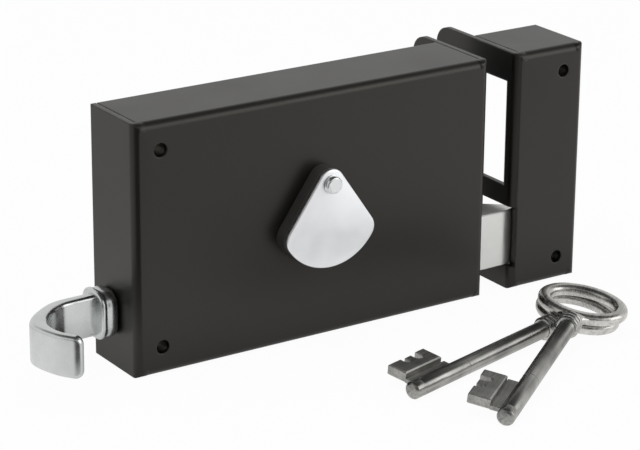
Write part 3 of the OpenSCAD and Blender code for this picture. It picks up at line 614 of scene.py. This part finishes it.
def latch_head():
    """Slab with a flat front, a round nose and a bevel on the door side."""
    low, high = (Vector(corner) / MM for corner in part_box("latch_head"))
    tail, nose, front, back = low.x + LATCH_TAIL, high.x + NOSE_PAST, low.y, low.y + LATCH_DEPTH
    quarter = arc(0, 0, 1, -90, 0, NOSE_STEPS)
    outline = [(low.x, front)]
    outline += [(nose + NOSE_LONG * (x - 1), front + NOSE_DEEP * (y + 1)) for x, y in quarter]
    outline += [(nose, front + NOSE_DEEP + NOSE_END), (nose - LATCH_BEVEL, back), (tail, back)]
    outline += [(tail, high.y), (low.x, high.y)]
    return slab(outline, low.z, high.z, LATCH_EDGE)


piece("latch_bar", latch_head(), LATCH_NICKEL, "latch", "latch_head", smooth=25)


# Key cover with an eased rim

# Height of its pivot, radius round the pivot, reach below it, radius of the lower edge and of its corners
PIVOT_Z, COVER_TOP_R, COVER_REACH, COVER_ARC_R, CORNER_R = 13.2, 5.1, 29.4, 20.0, 5.2
# How far each straight side leans from the upright
COVER_ANGLE = 35.0
COVER_TOP_STEPS, COVER_ARC_STEPS, CORNER_STEPS = 24, 40, 12
# Edge of the plate from back to front: distance behind the front face, and how far it draws in
COVER_RIM = ((1.6, 0.25), (1.45, 0.05), (1.2, 0.0), (0.45, 0.0), (0.25, 0.08), (0.1, 0.25), (0.0, 0.5))


def cover_outline():
    """Fan-shaped outline in X and Z below its pivot, with a lower edge rounder than its swing."""
    dx, dz = math.sin(math.radians(COVER_ANGLE)), math.cos(math.radians(COVER_ANGLE))
    off, drop = COVER_TOP_R - CORNER_R, COVER_REACH - COVER_ARC_R
    along = drop * dz + math.sqrt((COVER_ARC_R - CORNER_R) ** 2 - (off + drop * dx) ** 2)
    side = (off * dz + along * dx, off * dx - along * dz)
    lean = math.degrees(math.atan2(side[1] + drop, side[0]))
    points = arc(0, 0, COVER_TOP_R, COVER_ANGLE, 180 - COVER_ANGLE, COVER_TOP_STEPS)
    points += arc(-side[0], side[1], CORNER_R, 180 - COVER_ANGLE, 180 - lean, CORNER_STEPS)
    points += arc(0, -drop, COVER_ARC_R, -180 - lean, lean, COVER_ARC_STEPS)[1:-1]
    points += arc(side[0], side[1], CORNER_R, lean, COVER_ANGLE, CORNER_STEPS)
    return [(x, z + PIVOT_Z) for x, z in points]


def cover_plate():
    """Plate of the cover with a round front rim, as rings from back to front."""
    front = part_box("key_cover")[0][1] / MM
    outline = cover_outline()
    rings = []
    for behind, d in COVER_RIM:
        shape = inset(outline, d) if d else outline
        rings.append([(x, front + behind, z) for x, z in shape])
    return loft(rings)


piece("cover_plate", cover_plate(), COVER_NICKEL, "cover", "key_cover", smooth=30)


# Camera at the photograph's place, with sizes in mm and angles in degrees

CAMERA_LENS, CAMERA_SENSOR = 148.22, 36.0
CAMERA_AZIMUTH, CAMERA_ELEVATION, CAMERA_ROLL = -33.675, 19.755, 0.484
CAMERA_DISTANCE, CAMERA_TARGET = 918.02, (18.535, 0.0, -15.291)


def aim_camera():
    """Camera with the photograph's angle, distance and lens."""
    lens = bpy.data.cameras.new("camera")
    lens.lens = CAMERA_LENS
    lens.sensor_width = CAMERA_SENSOR
    lens.clip_start, lens.clip_end = 0.01, 20.0
    camera = bpy.data.objects.new("camera", lens)
    SCENE.collection.objects.link(camera)
    a, e = math.radians(CAMERA_AZIMUTH), math.radians(CAMERA_ELEVATION)
    back = Vector((math.sin(a) * math.cos(e), -math.cos(a) * math.cos(e), math.sin(e)))
    camera.location = Vector(CAMERA_TARGET) * MM + back * CAMERA_DISTANCE * MM
    camera.rotation_mode = "QUATERNION"
    turn = (-back).to_track_quat("-Z", "Y")
    camera.rotation_quaternion = turn @ Matrix.Rotation(math.radians(CAMERA_ROLL), 3, "Z").to_quaternion()
    SCENE.camera = camera


aim_camera()


# Background, floor and lights, in metres and watts

# Ways out of the object: to the dark front of the room, to where plain light comes from, to the painted
# dark patch on the floor
ROOM_FRONT, ROOM_BACK, PAINTED_PATCH_WAY = (-0.62, -0.78, -0.1), (0.0, 0.5, 0.87), (-0.66, -0.75, 0.0)
FLOOR_FRONT = (ROOM_FRONT[0], ROOM_FRONT[1], 0.0)
# Room: its white and its dark in reflections, the share of a dark ceiling, its least and most plain light
ROOM_WHITE, ROOM_DARK, CEILING_DARK, PLAIN_LEAST, PLAIN_MOST = 0.85, 0.1, 0.1, 0.08, 0.7
# Floor in reflections, as a share of white: in front, behind, and in the object's own shade
FLOOR_AHEAD, FLOOR_BEHIND, FLOOR_SHADE = 0.76, 0.75, 0.6
# Where the floor dims in front, how far it takes to dim behind, and how far the object's own shade reaches
AHEAD_FROM, AHEAD_TO, BEHIND_TO, SHADE_TO = 0.06, 0.2, 0.1, 0.04
# Painted dark patch on the floor, seen only in reflections: where it begins off the corner of the case, and
# how dark it is
PAINTED_PATCH_FROM, PAINTED_PATCH_TO, PAINTED_PATCH_DARK = 0.04, 0.07, 0.9
FLOOR_HALF, FLOOR_GAP = 4.0, 0.02 * MM
# Share of plain white that the floor shows the camera; the rest is paper that takes the shadow
FLOOR_WHITE = 0.96


def studio_world():
    """White to the camera, with a dark front and ceiling in reflections, and dimmer for plain light."""
    world = bpy.data.worlds.new("studio")
    SCENE.world = world
    tree = empty_tree(world)
    path = add(tree, "ShaderNodeLightPath").outputs
    way = add(tree, "ShaderNodeTexCoord").outputs["Generated"]
    # Plain light comes from above and behind
    rise = add(tree, "ShaderNodeVectorMath", {"operation": "DOT_PRODUCT", 1: ROOM_BACK}, {0: way})
    room = add(tree, "ShaderNodeMapRange",
               {"From Min": -0.35, "From Max": 0.75, "To Min": PLAIN_LEAST, "To Max": PLAIN_MOST,
                "interpolation_type": "SMOOTHSTEP"}, {"Value": rise.outputs["Value"]})
    # The front of the room is dark, and metal and enamel show that
    ahead = add(tree, "ShaderNodeVectorMath", {"operation": "DOT_PRODUCT", 1: ROOM_FRONT}, {0: way})
    white = add(tree, "ShaderNodeMapRange",
                {"From Min": 0.55, "From Max": 0.9, "To Min": ROOM_WHITE, "To Max": ROOM_DARK,
                 "interpolation_type": "SMOOTHSTEP"}, {"Value": ahead.outputs["Value"]})
    # So is the ceiling, which draws the dark lines along round edges
    height = add(tree, "ShaderNodeSeparateXYZ", links={0: way}).outputs["Z"]
    ceiling = add(tree, "ShaderNodeMapRange",
                  {"From Min": 0.55, "From Max": 0.85, "To Min": 1.0, "To Max": CEILING_DARK,
                   "interpolation_type": "SMOOTHSTEP"}, {"Value": height})
    dim = add(tree, "ShaderNodeMath", {"operation": "MULTIPLY"}, {0: white, 1: ceiling})
    bent = add(tree, "ShaderNodeMath", {"operation": "MAXIMUM"},
               {0: path["Is Glossy Ray"], 1: path["Is Transmission Ray"]})
    shown = add(tree, "ShaderNodeMath", {"operation": "MULTIPLY"}, {0: bent, 1: dim})
    seen = add(tree, "ShaderNodeMath", {"operation": "MAXIMUM"}, {0: shown, 1: path["Is Camera Ray"]})
    rest = add(tree, "ShaderNodeMath", {"operation": "MULTIPLY"}, {0: room, 1: path["Is Diffuse Ray"]})
    level = add(tree, "ShaderNodeMath", {"operation": "MAXIMUM"}, {0: seen, 1: rest})
    shade = add(tree, "ShaderNodeBackground", {"Color": WHITE}, {"Strength": level})
    add(tree, "ShaderNodeOutputWorld", links={"Surface": shade})


def floor_light(tree, place):
    """How bright the floor is painted in reflections: dimmer in front, behind, near the object and in a
    painted dark patch.
    """
    near = add(tree, "ShaderNodeVectorMath", {"operation": "DOT_PRODUCT", 1: FLOOR_FRONT}, {0: place})
    front = add(tree, "ShaderNodeMapRange",
                {"From Min": AHEAD_FROM, "From Max": AHEAD_TO, "To Min": 1.0, "To Max": FLOOR_AHEAD,
                 "interpolation_type": "SMOOTHSTEP"}, {"Value": near.outputs["Value"]})
    depth = add(tree, "ShaderNodeSeparateXYZ", links={0: place}).outputs["Y"]
    behind = add(tree, "ShaderNodeMapRange",
                 {"From Max": BEHIND_TO, "To Min": 1.0, "To Max": FLOOR_BEHIND}, {"Value": depth})
    # Close to the case and its keeper, and between them, it lies in their own shade
    low, high = Vector(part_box("case_shell")[0]), Vector(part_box("keeper_shell")[1])
    middle = add(tree, "ShaderNodeVectorMath", {"operation": "SUBTRACT", 1: (low + high) / 2}, {0: place})
    aside = add(tree, "ShaderNodeVectorMath", {"operation": "ABSOLUTE"}, {0: middle})
    past = add(tree, "ShaderNodeVectorMath", {"operation": "SUBTRACT", 1: (high - low) / 2}, {0: aside})
    outside = add(tree, "ShaderNodeVectorMath", {"operation": "MAXIMUM", 1: (0, 0, 0)}, {0: past})
    away = add(tree, "ShaderNodeVectorMath", {"operation": "LENGTH"}, {0: outside})
    shade = add(tree, "ShaderNodeMapRange",
                {"From Max": SHADE_TO, "To Min": FLOOR_SHADE}, {"Value": away.outputs["Value"]})
    # A painted dark patch off the front left corner, clear of the hook, draws a painted reflection: the
    # dark line down that bend
    corner = add(tree, "ShaderNodeVectorMath", {"operation": "SUBTRACT", 1: low}, {0: place})
    toward = add(tree, "ShaderNodeVectorMath", {"operation": "NORMALIZE"}, {0: corner})
    facing = add(tree, "ShaderNodeVectorMath", {"operation": "DOT_PRODUCT", 1: PAINTED_PATCH_WAY}, {0: toward})
    patch_facing = add(tree, "ShaderNodeMapRange", {"From Min": 0.84, "From Max": 0.96, "To Max": PAINTED_PATCH_DARK},
               {"Value": facing.outputs["Value"]})
    clear = add(tree, "ShaderNodeVectorMath", {"operation": "LENGTH"}, {0: corner})
    beyond = add(tree, "ShaderNodeMapRange", {"From Min": PAINTED_PATCH_FROM, "From Max": PAINTED_PATCH_TO},
                 {"Value": clear.outputs["Value"]})
    black = add(tree, "ShaderNodeMath", {"operation": "MULTIPLY"}, {0: patch_facing, 1: beyond})
    bare = add(tree, "ShaderNodeMath", {"operation": "SUBTRACT", 0: 1.0}, {1: black})
    light = front
    for share in (behind, shade, bare):
        light = add(tree, "ShaderNodeMath", {"operation": "MULTIPLY"}, {0: light, 1: share})
    return light


def paper():
    """Pale paper, near white to the camera, which keeps a soft shadow and lights what mirrors it."""
    material = bpy.data.materials.new("paper_floor")
    tree = empty_tree(material)
    path = add(tree, "ShaderNodeLightPath").outputs
    light = floor_light(tree, add(tree, "ShaderNodeTexCoord").outputs["Object"])
    bent = add(tree, "ShaderNodeMath", {"operation": "MAXIMUM"},
               {0: path["Is Glossy Ray"], 1: path["Is Transmission Ray"]})
    shown = add(tree, "ShaderNodeMath", {"operation": "MULTIPLY"}, {0: bent, 1: light})
    seen = add(tree, "ShaderNodeMath", {"operation": "MULTIPLY", 1: FLOOR_WHITE},
               {0: path["Is Camera Ray"]})
    share = add(tree, "ShaderNodeMath", {"operation": "MAXIMUM"}, {0: bent, 1: seen})
    level = add(tree, "ShaderNodeMath", {"operation": "MAXIMUM"}, {0: shown, 1: path["Is Camera Ray"]})
    matt = add(tree, "ShaderNodeBsdfDiffuse", {"Color": linear("#d8d8d8")})
    glow = add(tree, "ShaderNodeEmission", {"Color": WHITE}, {"Strength": level})
    mix = add(tree, "ShaderNodeMixShader", links={0: share, 1: matt, 2: glow})
    add(tree, "ShaderNodeOutputMaterial", links={"Surface": mix})
    return material


def lay_floor():
    """Wide floor a hair below the ground that the lock stands on."""
    s, z = FLOOR_HALF, GROUND * MM - FLOOR_GAP
    mesh = bpy.data.meshes.new("floor")
    mesh.from_pydata([(-s, -s, z), (s, -s, z), (s, s, z), (-s, s, z)], [], [(0, 1, 2, 3)])
    mesh.materials.append(paper())
    floor = bpy.data.objects.new("floor", mesh)
    SCENE.collection.objects.link(floor)


def softbox(name, place, aim, size, power, mirrored=False):
    """Square soft light at a place, pointing at aim; a mirrored one shows in polished metal."""
    data = bpy.data.lights.new(name, "AREA")
    data.shape = "SQUARE"
    data.size = size
    data.energy = power
    lamp = bpy.data.objects.new(name, data)
    lamp.location = place
    lamp.rotation_mode = "QUATERNION"
    lamp.rotation_quaternion = (Vector(aim) - Vector(place)).to_track_quat("-Z", "Y")
    lamp.visible_glossy = mirrored
    SCENE.collection.objects.link(lamp)


studio_world()
lay_floor()
softbox("top_light", place=(-0.15, -0.1, 1.1), aim=(0.02, -0.02, 0), size=0.9, power=6.0)
softbox("left_light", place=(-1.0, 0.1, 0.5), aim=(0, 0, 0), size=0.7, power=1.0)
softbox("right_light", place=(0.8, -0.9, 0.5), aim=(0.02, 0, 0), size=0.8, power=3.0, mirrored=True)

SCENE.view_settings.view_transform = "Standard"
